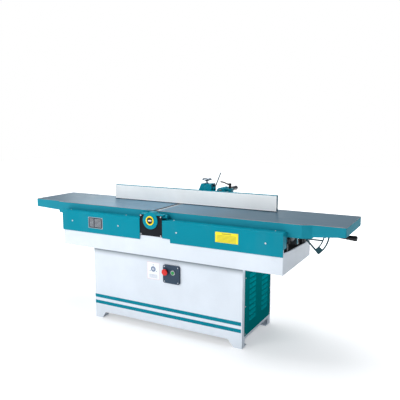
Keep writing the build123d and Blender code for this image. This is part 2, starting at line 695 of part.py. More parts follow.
def fence_bracket():
    with BuildPart() as bracket:
        rod("y", bar_x, 218, bar_z, 30, 110)
        block(bar_x - 34, bar_x + 34, 236, bed_back - bed_sheet, 600, bar_z)
        block(bar_x - 70, bar_x + 70, 258, bed_back - bed_sheet, 600, 690)
        block(bar_x + 10, bar_x + 62, 214, 264, 944, 981)
        rod("y", bar_x, 218, bar_z, bar_r + 0.06, 120, mode=Mode.SUBTRACT)
        block(bar_x + 10, bar_x + 64, 210, 280, bar_z - 1.5, bar_z + 1.5, mode=Mode.SUBTRACT)
        rod("z", bar_x + 44, 240, 962, 6.06, 50, mode=Mode.SUBTRACT)
    keep(bracket, "fence_bracket")
    with BuildPart() as lever:
        rod("z", bar_x + 44, 240, 1001.5, 11, 39)
        rod("z", bar_x + 44, 240, 960, 6, 44)
        with BuildSketch(Plane.XZ.offset(-246)) as arm:
            with BuildLine():
                Polyline((bar_x + 50, 1000), (bar_x + 50, 1021), (bar_x + 30, 1020), (bar_x - 6, 1033),
                         (bar_x - 32, 1034), (bar_x - 38, 1028), (bar_x - 30, 1021), (bar_x - 8, 1020),
                         (bar_x + 28, 1004), close=True)
            make_face()
        extrude(amount=12)
        fillet(lever.edges().filter_by(Axis.Y).group_by(Axis.X)[0], 3)
    keep(lever, "bar_clamp_lever")


def fence_handles():
    """Tilt clamp hub and rod, index plunger, and the dished handwheel."""
    with BuildPart() as hub:
        rod("x", 171.5, carriage_y, clamp_z, 19, 13)
        fillet(hub.edges().filter_by(GeomType.CIRCLE).sort_by(Axis.X)[-1], 8)
        rod("x", 125, carriage_y, clamp_z, 8, 80)
    keep(hub, "tilt_clamp_hub")
    lean = math.radians(42.6)
    with BuildPart() as handle:
        centre = (171.5, carriage_y + 86 * math.sin(lean), clamp_z + 86 * math.cos(lean))
        with Locations(Location(centre, (-42.6, 0, 0))):
            Cylinder(4.3, 136)
        rod("x", 171.5, carriage_y, clamp_z, 19, 14, mode=Mode.SUBTRACT)
        fillet(handle.edges().filter_by(GeomType.CIRCLE).sort_by(Axis.Z)[-1], 2)
    keep(handle, "tilt_clamp_handle")
    with BuildPart() as plunger:
        rod("x", 168.5, carriage_y, 1007, 7, 13)
        rod("x", 148, carriage_y, 1007, 4, 30)
        fillet(plunger.edges().filter_by(GeomType.CIRCLE).sort_by(Axis.X)[-1], 2)
    keep(plunger, "index_plunger")
    with BuildPart() as wheel:
        rod("z", carriage_x, carriage_y, 1009, 8, 18)
        rod("z", carriage_x, carriage_y, 1023, 12, 10)
        with BuildSketch(Plane.XZ.offset(-carriage_y)) as section:
            with BuildLine():
                Polyline((carriage_x, 1027), (carriage_x + 14, 1027), (carriage_x + 28, 1044),
                         (carriage_x + 28, 1049), (carriage_x + 10, 1036), (carriage_x, 1036), close=True)
            make_face()
        revolve(axis=Axis((carriage_x, carriage_y, 1000), (0, 0, 1)))
    keep(wheel, "handwheel")
    with BuildPart() as rim:
        with BuildSketch(Plane.XZ.offset(-carriage_y)) as section:
            with Locations((carriage_x + 33.2, 1048)):
                Ellipse(4.9, 6)
        revolve(axis=Axis((carriage_x, carriage_y, 1000), (0, 0, 1)))
    keep(rim, "handwheel_rim")


build_order = [
    lambda: stand_side(stand_front_y, 1, "stand_front_panel"),
    lambda: stand_side(stand_back_y, -1, "stand_rear_panel"),
    stand_left_panel, stand_bottom_rail, stand_top_plate, foot_pads, vent_panel, cable_gland,
    switch_parts, bed_box,
    lambda: cover(bed_left, plate_left, bed_left, "left_cover", False),
    lambda: cover(plate_right + 4, bed_right, bed_right, "right_cover", True),
    fasteners, rating_plate, chip_chute, bearing_housings, bearing_cover_plate, cutterhead, drive,
    tables, table_posts, depth_gear, depth_lever, depth_quadrant, fence_parts, fence_carriage,
    fence_bracket, fence_handles,
]
for make in build_order:
    make()
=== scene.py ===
import json
import math
import bmesh
import bpy
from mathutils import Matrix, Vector

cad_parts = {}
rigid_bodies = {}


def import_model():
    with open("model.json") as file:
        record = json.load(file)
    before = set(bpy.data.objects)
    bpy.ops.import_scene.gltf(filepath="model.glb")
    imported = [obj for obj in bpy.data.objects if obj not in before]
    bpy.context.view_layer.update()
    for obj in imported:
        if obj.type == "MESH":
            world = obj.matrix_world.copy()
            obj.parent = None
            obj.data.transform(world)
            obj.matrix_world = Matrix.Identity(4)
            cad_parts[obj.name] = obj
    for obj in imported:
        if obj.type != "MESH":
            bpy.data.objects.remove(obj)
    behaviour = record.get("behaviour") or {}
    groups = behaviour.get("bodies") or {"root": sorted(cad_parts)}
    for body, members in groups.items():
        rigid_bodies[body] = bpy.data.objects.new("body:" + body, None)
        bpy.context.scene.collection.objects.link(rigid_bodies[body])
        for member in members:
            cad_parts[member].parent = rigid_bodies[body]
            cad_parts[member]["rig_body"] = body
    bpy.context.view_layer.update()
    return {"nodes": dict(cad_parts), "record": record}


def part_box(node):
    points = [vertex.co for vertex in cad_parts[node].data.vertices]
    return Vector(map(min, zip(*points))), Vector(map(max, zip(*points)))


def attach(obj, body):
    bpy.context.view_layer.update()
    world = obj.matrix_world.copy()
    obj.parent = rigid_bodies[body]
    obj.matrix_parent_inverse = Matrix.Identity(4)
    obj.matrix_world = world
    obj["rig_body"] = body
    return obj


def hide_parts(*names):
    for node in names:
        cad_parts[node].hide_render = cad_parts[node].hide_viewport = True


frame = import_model()
nodes = frame["nodes"]

# ------------------------------------------------------------------ colours (linear)
TEAL = (0.0, 0.225, 0.305)
TEAL_DARK = (0.0, 0.165, 0.175)
WHITE = (0.67, 0.72, 0.78)
IRON = (0.050, 0.104, 0.146)
# Painted shade for the faces inside the bed.
BED_INSIDE_SHADE = (0.060, 0.060, 0.058)
# Painted shadow under the bed's bottom edge.
BED_SHADOW = (0.035, 0.060, 0.072)
# Painted shade for the tables' downward faces and inner walls.
TABLE_SHADE_DARK = (0.020, 0.024, 0.028)
RUBBED_EDGE = (0.42, 0.27, 0.23)


# ------------------------------------------------------------------ shader helpers
class Shader:
    """A small wrapper that adds and links nodes of one material."""

    def __init__(self, name):
        self.material = bpy.data.materials.new(name)
        self.material.use_nodes = True
        self.tree = self.material.node_tree
        self.bsdf = self.tree.nodes["Principled BSDF"]
        coord = self.tree.nodes.new("ShaderNodeTexCoord")
        self.place = coord.outputs["Object"]

    def link(self, source, target):
        self.tree.links.new(source, target)

    def fill(self, value, socket):
        """Set a socket from a number or a colour, or link an output to it."""
        if isinstance(value, tuple):
            socket.default_value = (*value[:3], 1.0)
        elif isinstance(value, (int, float)):
            socket.default_value = value
        else:
            self.link(value, socket)

    def stretched(self, sx, sy, sz):
        """Row-frame position, scaled along each axis."""
        mapping = self.tree.nodes.new("ShaderNodeMapping")
        mapping.inputs["Scale"].default_value = (sx, sy, sz)
        self.link(self.place, mapping.inputs["Vector"])
        return mapping.outputs["Vector"]

    def noise(self, scale, detail=4.0, vector=None, roughness=0.55):
        tex = self.tree.nodes.new("ShaderNodeTexNoise")
        tex.inputs["Scale"].default_value = scale
        tex.inputs["Detail"].default_value = detail
        tex.inputs["Roughness"].default_value = roughness
        self.link(vector or self.place, tex.inputs["Vector"])
        return tex.outputs["Fac"]

    def ramp(self, source, low, high, from_value=0.0, to_value=1.0):
        """Map source from low..high to from_value..to_value, clamped."""
        node = self.tree.nodes.new("ShaderNodeMapRange")
        node.inputs["From Min"].default_value = low
        node.inputs["From Max"].default_value = high
        node.inputs["To Min"].default_value = from_value
        node.inputs["To Max"].default_value = to_value
        self.link(source, node.inputs["Value"])
        return node.outputs["Result"]

    def math(self, operation, a, b):
        node = self.tree.nodes.new("ShaderNodeMath")
        node.operation = operation
        self.fill(a, node.inputs[0])
        self.fill(b, node.inputs[1])
        return node.outputs[0]

    def mix(self, factor, a, b):
        """Mix two colours, each a colour or an output."""
        node = self.tree.nodes.new("ShaderNodeMix")
        node.data_type = "RGBA"
        self.link(factor, node.inputs["Factor"])
        pair = [s for s in node.inputs if s.type == "RGBA"]
        self.fill(a, pair[0])
        self.fill(b, pair[1])
        return [s for s in node.outputs if s.type == "RGBA"][0]

    def mix_value(self, factor, a, b):
        """Mix two numbers, each a number or an output."""
        node = self.tree.nodes.new("ShaderNodeMix")
        self.link(factor, node.inputs[0])
        self.fill(a, node.inputs[2])
        self.fill(b, node.inputs[3])
        return node.outputs[0]

    def size(self, source):
        """The absolute value of an output."""
        return self.math("ABSOLUTE", source, 0.0)

    def axis(self, index):
        """One coordinate of the row-frame position."""
        split = self.tree.nodes.new("ShaderNodeSeparateXYZ")
        self.link(self.place, split.inputs[0])
        return split.outputs[index]

    def facing(self, index):
        """One component of the surface normal."""
        geometry = self.tree.nodes.new("ShaderNodeNewGeometry")
        split = self.tree.nodes.new("ShaderNodeSeparateXYZ")
        self.link(geometry.outputs["True Normal"], split.inputs[0])
        return split.outputs[index]

    def edges(self, radius):
        """1 near a sharp edge and 0 on a flat face, from a bevelled normal."""
        bevel = self.tree.nodes.new("ShaderNodeBevel")
        bevel.samples = 6
        bevel.inputs["Radius"].default_value = radius
        geometry = self.tree.nodes.new("ShaderNodeNewGeometry")
        dot = self.tree.nodes.new("ShaderNodeVectorMath")
        dot.operation = "DOT_PRODUCT"
        self.link(bevel.outputs["Normal"], dot.inputs[0])
        self.link(geometry.outputs["Normal"], dot.inputs[1])
        return self.ramp(dot.outputs["Value"], 0.995, 0.85)

    def bump(self, parts, distance=0.0003):
        """Chain bumps: parts is a list of (height, strength)."""
        last = None
        for height, strength in parts:
            node = self.tree.nodes.new("ShaderNodeBump")
            node.inputs["Strength"].default_value = strength
            node.inputs["Distance"].default_value = distance
            self.link(height, node.inputs["Height"])
            if last is not None:
                self.link(last, node.inputs["Normal"])
            last = node.outputs["Normal"]
        self.link(last, self.bsdf.inputs["Normal"])

    def colour(self, source):
        self.put("Base Color", source)

    def put(self, socket, value):
        """Fill one socket of the surface shader by its name."""
        self.fill(value, self.bsdf.inputs[socket])


def shade(colour, factor):
    return tuple(min(1.0, c * factor) for c in colour)


def enamel(name, colour, rough=0.32, gloss=0.05, wear=0.35, under=(0.30, 0.30, 0.31), peel=0.10,
           coat=0.02, dirt=0.03):
    """Machine paint: orange peel, faint cloudiness, streaks of dust and worn edges."""
    s = Shader(name)
    cloud = s.noise(2.6, 5.0)
    base = s.mix(s.ramp(cloud, 0.3, 0.7), shade(colour, 0.94), shade(colour, 1.06))
    specks = s.ramp(s.noise(420.0, 2.0), 0.66, 0.74)
    base = s.mix(s.math("MULTIPLY", specks, 0.14), base, shade(colour, 0.6))
    smear = s.ramp(s.noise(9.0, 6.0, s.stretched(1.0, 1.0, 0.25)), 0.52, 0.78, 0.0, dirt)
    base = s.mix(smear, base, (0.30, 0.30, 0.28))
    rub = s.math("MULTIPLY", s.edges(0.0022), s.ramp(s.noise(34.0, 6.0), 0.50, 0.64))
    rub = s.math("MULTIPLY", rub, wear)
    s.colour(s.mix(rub, base, under))
    s.put("Roughness", s.ramp(s.noise(14.0, 5.0), 0.3, 0.75, rough - 0.05, rough + 0.12))
    s.put("Metallic", s.math("MULTIPLY", rub, 0.8))
    s.put("Coat Weight", coat)
    s.put("Coat Roughness", 0.12)
    s.put("Specular IOR Level", gloss)
    s.bump([(s.noise(260.0, 2.0), peel), (s.noise(30.0, 3.0), peel * 0.8)])
    return s


def metal(name, colour, rough=0.3, brushed=(1.0, 1.0, 1.0), grain=300.0, spots=0.12, strength=0.12):
    """Machined metal: directional grain, faint oxide spots, brighter edges."""
    s = Shader(name)
    lines = s.noise(grain, 6.0, s.stretched(*brushed))
    base = s.mix(s.ramp(lines, 0.3, 0.7), shade(colour, 0.82), shade(colour, 1.14))
    rust = s.ramp(s.noise(46.0, 7.0), 0.62, 0.78, 0.0, spots)
    base = s.mix(rust, base, (0.16, 0.12, 0.09))
    base = s.mix(s.math("MULTIPLY", s.edges(0.0010), 0.35), base, shade(colour, 1.45))
    s.colour(base)
    s.put("Metallic", 1.0)
    s.put("Roughness", s.ramp(lines, 0.25, 0.75, rough - 0.07, rough + 0.13))
    s.bump([(lines, strength), (s.noise(90.0, 3.0), strength * 0.5)], 0.0002)
    return s


def plastic(name, colour, rough, grain=900.0, strength=0.18):
    """Moulded plastic with fine spark-eroded grain."""
    s = Shader(name)
    base = s.mix(s.ramp(s.noise(8.0, 4.0), 0.3, 0.7), shade(colour, 0.88), shade(colour, 1.10))
    scuff = s.math("MULTIPLY", s.edges(0.0009), s.ramp(s.noise(160.0, 4.0), 0.45, 0.65, 0.0, 0.45))
    s.colour(s.mix(scuff, base, shade(colour, 1.9)))
    s.put("Roughness", s.ramp(s.noise(60.0, 4.0), 0.3, 0.7, rough - 0.06, rough + 0.10))
    s.put("Specular IOR Level", 0.28)
    s.bump([(s.noise(grain, 2.0), strength)], 0.0001)
    return s


def table_material():
    """Ground iron top with a painted reflection that makes it lighter near the cutter; painted sides;
    rubbed edge; painted shade, near black, on downward faces and inside the casting.
    """
    flat_from, edge_from = 0.8440, 0.8549
    wall_inside, pocket_end = 0.2165, 0.94
    s = Shader("table_iron")
    marks = s.noise(140.0, 8.0, s.stretched(0.05, 1.0, 1.0))
    fine = s.noise(900.0, 3.0, s.stretched(0.12, 1.0, 1.0))
    iron = s.mix(s.ramp(marks, 0.32, 0.68), shade(IRON, 0.82), shade(IRON, 1.22))
    iron = s.mix(s.ramp(fine, 0.35, 0.65, 0.0, 0.30), iron, shade(IRON, 1.5))
    # Painted reflection: the ground top is made lighter towards the cutter.
    from_cutter = s.size(s.math("ADD", s.axis(0), 0.22))
    iron = s.mix(s.ramp(from_cutter, 0.10, 0.75, 0.85, 0.0), iron, shade(IRON, 2.3))
    stain = s.ramp(s.noise(5.0, 7.0), 0.55, 0.78, 0.0, 0.22)
    iron = s.mix(stain, iron, (0.12, 0.12, 0.13))
    paint = s.mix(s.ramp(s.noise(2.4, 4.0), 0.3, 0.7), shade(TEAL, 0.92), shade(TEAL, 1.06))
    level = s.ramp(s.facing(2), 0.90, 0.97)
    up = s.math("MULTIPLY", level, s.ramp(s.axis(2), flat_from, flat_from + 0.0005))
    near_top = s.ramp(s.axis(2), edge_from, edge_from + 0.0007)
    rim = s.math("MULTIPLY", near_top, s.math("SUBTRACT", 1.0, up))
    # Painted shade: downward faces, and the crosswise inner walls of the casting, are made near black.
    within = s.math("LESS_THAN", s.size(s.axis(1)), wall_inside)
    within = s.math("MULTIPLY", within, s.math("LESS_THAN", s.size(s.axis(0)), pocket_end))
    below = s.math("LESS_THAN", s.facing(2), -0.5)
    across = s.math("GREATER_THAN", s.size(s.facing(1)), 0.5)
    shade_below_and_inside = s.math("MAXIMUM", below, s.math("MULTIPLY", within, across))
    paint = s.mix(shade_below_and_inside, paint, TABLE_SHADE_DARK)
    edge = s.mix(rim, paint, RUBBED_EDGE)
    s.colour(s.mix(up, edge, iron))
    bare = s.math("MAXIMUM", up, s.math("MULTIPLY", rim, 0.7))
    s.put("Metallic", s.math("MULTIPLY", bare, 0.12))
    s.put("Specular IOR Level", 0.22)
    s.put("Roughness", s.mix_value(up, 0.62, s.ramp(marks, 0.3, 0.7, 0.32, 0.48)))
    s.bump([(marks, 0.10), (s.noise(240.0, 2.0), 0.08)])
    return s


def stand_material():
    """Pale powder coat, two teal bands on the front, a painted shadow under the bed and painted shade on
    the faces inside it.
    """
    bands = ((0.1090, 0.1348), (0.1568, 0.1828))
    bands_end, front_wall = 0.601, -0.2680
    bed_shadow_low, bed_shadow_high, bed_floor = 0.488, 0.538, 0.5405
    s = enamel("stand_paint", WHITE, rough=0.38, wear=0.20, peel=0.12, coat=0.05, dirt=0.04)
    pale = s.bsdf.inputs["Base Color"].links[0].from_socket
    height = s.axis(2)
    outward = s.math("LESS_THAN", s.facing(1), -0.5)
    front = s.ramp(s.axis(1), front_wall, front_wall - 0.001)
    front = s.math("MULTIPLY", front, s.math("LESS_THAN", s.axis(0), bands_end))
    band = None
    for low, high in bands:
        above = s.math("GREATER_THAN", height, low)
        one = s.math("MULTIPLY", above, s.math("LESS_THAN", height, high))
        band = one if band is None else s.math("MAXIMUM", band, one)
    band = s.math("MULTIPLY", band, s.math("MULTIPLY", front, outward))
    teal = s.mix(s.ramp(s.noise(30.0, 4.0), 0.3, 0.7), shade(TEAL, 0.82), shade(TEAL, 0.96))
    # Painted shadow: the front face darkens towards the bed's bottom edge, just under it.
    bed_shadow = s.math("POWER", s.ramp(height, bed_shadow_low, bed_shadow_high), 1.8)
    bed_shadow = s.math("MULTIPLY", bed_shadow, s.math("LESS_THAN", height, bed_floor))
    bed_shadow = s.math("MULTIPLY", s.math("MULTIPLY", bed_shadow, outward), 0.93)
    pale = s.mix(bed_shadow, pale, BED_SHADOW)
    # Painted shade: faces that look inwards, above the stand's top, are made dark.
    lengthwise = s.math("MULTIPLY", s.axis(0), s.facing(0))
    crosswise = s.math("MULTIPLY", s.axis(1), s.facing(1))
    inward = s.math("LESS_THAN", s.math("MINIMUM", lengthwise, crosswise), -0.1)
    shaded_inside = s.math("MULTIPLY", inward, s.math("GREATER_THAN", height, 0.53))
    s.colour(s.mix(shaded_inside, s.mix(band, pale, teal), BED_INSIDE_SHADE))
    return s


def fence_material():
    """Pale ground face with a painted highlight along its end and foot and a painted shadow line at its
    bottom edge; painted ends.
    """
    end_highlight_width, foot_highlight_width, shadow_line_height = 0.013, 0.011, 0.0035
    s = enamel("fence_grey", (0.93, 0.94, 0.935), rough=0.34, gloss=0.08, wear=0.0, peel=0.05, dirt=0.05)
    pale = s.bsdf.inputs["Base Color"].links[0].from_socket
    low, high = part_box("fence_face")
    # Painted highlight: a near-white strip along the face's end and foot.
    end_highlight = s.math("GREATER_THAN", s.axis(0), high.x - end_highlight_width)
    foot_highlight = s.math("LESS_THAN", s.axis(2), low.z + foot_highlight_width)
    pale = s.mix(s.math("MAXIMUM", end_highlight, foot_highlight), pale, (1.0, 0.995, 0.99))
    # Painted shadow: a dark line along the face's bottom edge.
    foot = s.math("LESS_THAN", s.axis(2), low.z + shadow_line_height)
    pale = s.mix(foot, pale, (0.030, 0.050, 0.075))
    front = s.math("LESS_THAN", s.facing(1), -0.5)
    s.colour(s.mix(front, TEAL, pale))
    return s


MATERIALS = {
    "stand_paint": stand_material(),
    "teal_paint": enamel("teal_paint", TEAL),
    "vent_paint": enamel("vent_paint", TEAL_DARK, rough=0.55, gloss=0.0, coat=0.0, dirt=0.02),
    "black_paint": enamel("black_paint", (0.012, 0.013, 0.016), rough=0.34, under=(0.25, 0.25, 0.25),
                          wear=0.3),
    "yellow_paint": enamel("yellow_paint", (0.95, 0.72, 0.03), rough=0.35, wear=0.2),
    "table_iron": table_material(),
    "iron": metal("iron", (0.085, 0.088, 0.092), rough=0.52, grain=220.0, spots=0.3),
    "steel": metal("steel", (0.56, 0.58, 0.60), rough=0.28, brushed=(1.0, 0.08, 1.0)),
    "dark_steel": metal("dark_steel", (0.13, 0.13, 0.135), rough=0.36, brushed=(1.0, 0.08, 1.0)),
    "fence_grey": fence_material(),
    "chrome": metal("chrome", (0.82, 0.83, 0.84), rough=0.14, grain=500.0, spots=0.04, strength=0.03),
    "black_plastic": plastic("black_plastic", (0.014, 0.015, 0.017), rough=0.36),
    "slate_plastic": plastic("slate_plastic", (0.020, 0.045, 0.078), rough=0.42),
    "red_plastic": plastic("red_plastic", (0.62, 0.022, 0.018), rough=0.26, strength=0.06),
    "green_plastic": plastic("green_plastic", (0.02, 0.30, 0.07), rough=0.26, strength=0.06),
    "plate_metal": metal("plate_metal", (0.05, 0.055, 0.07), rough=0.34, brushed=(0.1, 1.0, 1.0)),
    "motor_grey": enamel("motor_grey", (0.12, 0.15, 0.18), rough=0.4, dirt=0.2),
    "belt_rubber": plastic("belt_rubber", (0.015, 0.015, 0.015), rough=0.7, grain=500.0, strength=0.3),
}
slot_of = {entry["node"]: entry["material_slot"] for entry in frame["record"]["subparts"]}


def dress(obj, slot):
    obj.data.materials.clear()
    obj.data.materials.append(MATERIALS[slot].material)


for name, obj in nodes.items():
    dress(obj, slot_of[name])
for name in ("outfeed_lip", "infeed_lip"):
    dress(nodes[name], "table_iron")
quadrant_paint = enamel("quadrant_paint", (0.030, 0.105, 0.130), rough=0.45, gloss=0.10)
rod_steel = metal("rod_steel", (0.10, 0.17, 0.20), rough=0.42, brushed=(1.0, 0.08, 1.0))
nodes["tilt_clamp_handle"].data.materials[0] = rod_steel.material


# ------------------------------------------------------------------ mesh helpers
def add_object(name, mesh):
    obj = bpy.data.objects.new(name, mesh)
    bpy.context.scene.collection.objects.link(obj)
    return obj


def finish_piece(name, bm, slot, body, replaced=(), smooth=0.6, bevel=0.0, material=None):
    """Turn a bmesh into a named piece with its material (the slot's, unless one is given), body and soft
    edges.
    """
    bmesh.ops.recalc_face_normals(bm, faces=bm.faces)
    mesh = bpy.data.meshes.new(name)
    bm.to_mesh(mesh)
    bm.free()
    obj = add_object(name, mesh)
    obj.data.materials.append(material or MATERIALS[slot].material)
    if bevel > 0:
        soft = obj.modifiers.new("soft_edges", "BEVEL")
        soft.width = bevel
        soft.segments = 2
        soft.limit_method = "ANGLE"
        soft.angle_limit = math.radians(28)
        soft.use_clamp_overlap = True
        soft.harden_normals = False
    mesh.shade_smooth()
    mesh.set_sharp_from_angle(angle=smooth)
    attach(obj, body)
    for node in replaced:
        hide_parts(node)
    return obj


def ring_radius(radius, sides, angle):
    """Radius of a regular polygon's outline at an angle, or a circle when sides is 0."""
    if not sides:
        return radius
    step = 2 * math.pi / sides
    local = (angle % step) - step / 2
    return radius * math.cos(step / 2) / math.cos(local)


def turned(bm, profile, centre, axis, steps=48):
    """Revolve (radius, height) or (radius, height, sides) rings about an axis, closing both ends."""
    turn = Vector(axis).normalized().to_track_quat("Z", "Y").to_matrix()
    middle = Vector(centre)
    rings = []
    for entry in profile:
        radius, height = entry[0], entry[1]
        sides = entry[2] if len(entry) > 2 else 0
        ring = []
        for k in range(steps):
            angle = 2 * math.pi * k / steps
            r = ring_radius(radius, sides, angle)
            spot = Vector((r * math.cos(angle), r * math.sin(angle), height))
            ring.append(bm.verts.new(middle + turn @ spot))
        rings.append(ring)
    for low, high in zip(rings, rings[1:]):
        for k in range(steps):
            bm.faces.new((low[k], low[(k + 1) % steps], high[(k + 1) % steps], high[k]))
    bm.faces.new(list(reversed(rings[0])))
    bm.faces.new(rings[-1])


def turned_ring(bm, profile, centre, axis, steps=64):
    """Revolve a closed (radius, height) loop about an axis."""
    turn = Vector(axis).normalized().to_track_quat("Z", "Y").to_matrix()
    middle = Vector(centre)
    rings = []
    for radius, height in profile:
        ring = []
        for k in range(steps):
            angle = 2 * math.pi * k / steps
            spot = Vector((radius * math.cos(angle), radius * math.sin(angle), height))
            ring.append(bm.verts.new(middle + turn @ spot))
        rings.append(ring)
    for low, high in zip(rings, rings[1:] + rings[:1]):
        for k in range(steps):
            bm.faces.new((low[k], low[(k + 1) % steps], high[(k + 1) % steps], high[k]))


def arc(cx, cy, radius, start, end, count):
    """Points on an arc, angles in degrees."""
    points = []
    for k in range(count + 1):
        angle = math.radians(start + (end - start) * k / count)
        points.append((cx + radius * math.cos(angle), cy + radius * math.sin(angle)))
    return points


def rounded_plate(bm, x0, x1, z0, z1, y_back, y_front, corner, segments=5):
    """A plate with rounded corners lying in an XZ plane; y_front is its outer face."""
    outline = []
    for cx, cz, start in ((x1 - corner, z1 - corner, 0), (x0 + corner, z1 - corner, 90),
                          (x0 + corner, z0 + corner, 180), (x1 - corner, z0 + corner, 270)):
        outline += arc(cx, cz, corner, start, start + 90, segments)
    back = [bm.verts.new((x, y_back, z)) for x, z in outline]
    front = [bm.verts.new((x, y_front, z)) for x, z in outline]
    count = len(outline)
    bm.faces.new(front)
    bm.faces.new(list(reversed(back)))
    for k in range(count):
        bm.faces.new((back[k], back[(k + 1) % count], front[(k + 1) % count], front[k]))


def box_in(bm, x0, x1, y0, y1, z0, z1):
    corners = [bm.verts.new((x, y, z)) for x in (x0, x1) for y in (y0, y1) for z in (z0, z1)]
    for a, b, c, d in ((0, 1, 3, 2), (4, 6, 7, 5), (0, 4, 5, 1), (2, 3, 7, 6), (0, 2, 6, 4), (1, 5, 7, 3)):
        bm.faces.new((corners[a], corners[b], corners[c], corners[d]))


def refined(node, width):
    """A copy of a CAD node whose sharp edges are eased, standing for the node."""
    bm = bmesh.new()
    bm.from_mesh(nodes[node].data)
    bmesh.ops.remove_doubles(bm, verts=bm.verts, dist=0.00002)
    bmesh.ops.dissolve_limit(bm, angle_limit=math.radians(0.4), verts=bm.verts, edges=bm.edges)
    paint = quadrant_paint.material if node == "depth_quadrant" else None
    body = nodes[node]["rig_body"]
    finish_piece(node + "_eased", bm, slot_of[node], body, (node,), smooth=0.7, bevel=width, material=paint)


def button_screw(bm, place, axis, radius, height, drive=0.45):
    """A low domed head with a hexagonal socket, its seat at place."""
    out = Vector(axis).normalized()
    seat = Vector(place)
    socket = radius * drive
    dome = [(radius * math.cos(a), height * (0.15 + 0.85 * math.sin(a)))
            for a in (math.radians(d) for d in (0, 20, 40, 56, 64))]
    profile = [(radius * 0.98, 0.0)] + dome
    hexagon = 6
    profile += [(socket, height * 0.97, hexagon), (socket * 0.97, height * 0.45, hexagon)]
    profile.append((socket * 0.2, height * 0.38, hexagon))
    turned(bm, profile, seat, out, steps=24)


def swept(bm, points, radii, flatten, steps=20):
    """A round bar that follows points; radii gives its half width at each point."""
    rings = []
    for k, point in enumerate(points):
        ahead = Vector(points[min(k + 1, len(points) - 1)]) - Vector(points[max(k - 1, 0)])
        turn = ahead.normalized().to_track_quat("Z", "Y").to_matrix()
        ring = []
        for j in range(steps):
            angle = 2 * math.pi * j / steps
            spot = Vector((radii[k] * math.cos(angle), radii[k] * flatten * math.sin(angle), 0))
            ring.append(bm.verts.new(Vector(point) + turn @ spot))
        rings.append(ring)
    for low, high in zip(rings, rings[1:]):
        for j in range(steps):
            bm.faces.new((low[j], low[(j + 1) % steps], high[(j + 1) % steps], high[j]))
    bm.faces.new(list(reversed(rings[0])))
    bm.faces.new(rings[-1])


def midpoint(node):
    low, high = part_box(node)
    return (low + high) / 2


# ------------------------------------------------------------------ eased sheet metal and castings
EASED = {
    "left_cover": 0.0012, "right_cover": 0.0012, "bed_box": 0.0010, "stand_front_panel": 0.0008,
    "stand_rear_panel": 0.0008, "stand_left_panel": 0.0008, "fence_body": 0.0012, "fence_face": 0.0008,
    "fence_carriage": 0.0022, "fence_bracket": 0.0020, "tilt_quadrant": 0.0010, "switch_box": 0.0014,
    "front_bearing_housing": 0.0012, "rear_bearing_housing": 0.0012, "bearing_cover_plate": 0.0008,
    "belt_guard": 0.0010, "depth_quadrant": 0.0008, "outfeed_table": 0.0010, "infeed_table": 0.0010,
    "motor_mount": 0.0006, "foot_pads": 0.0008,
}
for node, width in EASED.items():
    refined(node, width)

# ------------------------------------------------------------------ places shared by several pieces
FRONT = (0, -1, 0)
UP = (0, 0, 1)
cover_low, cover_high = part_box("left_cover")
stand_low, stand_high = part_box("stand_front_panel")
switch_low, switch_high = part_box("switch_box")
vent_low, vent_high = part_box("vent_panel")
face_y = cover_low.y
stand_y = stand_low.y
sheet_x = stand_high.x + 0.003
button_z = 0.446
stop_x = 0.035
start_x = 0.094


# ------------------------------------------------------------------ screws
def cover_screw_heads():
    face_z, ledge_y, rise = 0.733, -0.245, 0.0030
    bm = bmesh.new()
    for x in (-0.788, -0.358, 0.129, 0.767):
        button_screw(bm, (x, face_y, face_z), FRONT, 0.0062, rise)
    for x in (-0.842, -0.321, 0.082, 0.812):
        button_screw(bm, (x, ledge_y, cover_high.z), UP, 0.0052, rise)
    low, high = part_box("bearing_cover_plate")
    for x in (low.x + 0.008, high.x - 0.010):
        for z in (low.z + 0.008, high.z - 0.008):
            button_screw(bm, (x, low.y, z), FRONT, 0.0056, rise)
    finish_piece("cover_screw_heads", bm, "steel", "machine", ("cover_screws",))


def panel_screw_heads():
    inset = 0.012
    bm = bmesh.new()
    for y in (-0.2265, 0.2195):
        for z in (0.088, 0.278, 0.470):
            button_screw(bm, (sheet_x, y, z), (1, 0, 0), 0.0050, 0.0026)
    for x in (switch_low.x + inset, switch_high.x - inset):
        for z in (switch_low.z + inset, switch_high.z - inset):
            button_screw(bm, (x, switch_low.y, z), FRONT, 0.0042, 0.0020)
    finish_piece("panel_screw_heads", bm, "steel", "machine", ("panel_screws",))


# ------------------------------------------------------------------ louvred side panel
def louvre(bm, y_mid, z_mid, stands_out):
    """One pressed louvre: a quarter-round hood, rounded at both ends and open below."""
    across, down = 18, 8
    half_width, half_height = 0.054, 0.011
    seat_x = sheet_x + 0.0001
    grid = []
    for j in range(down + 1):
        v = j / down
        line = []
        for i in range(across + 1):
            u = 2 * i / across - 1
            taper = max(0.0, 1 - abs(u) ** 5) ** 0.5
            bulge = stands_out * taper * math.sin(v * math.pi / 2)
            spot = (seat_x + bulge, y_mid + half_width * u, z_mid + half_height * (1 - 2 * v))
            line.append(bm.verts.new(spot))
        grid.append(line)
    for j in range(down):
        for i in range(across):
            bm.faces.new((grid[j][i], grid[j + 1][i], grid[j + 1][i + 1], grid[j][i + 1]))
    lip = [bm.verts.new((seat_x, v.co.y, v.co.z)) for v in grid[down]]
    for i in range(across):
        bm.faces.new((grid[down][i], lip[i], lip[i + 1], grid[down][i + 1]))


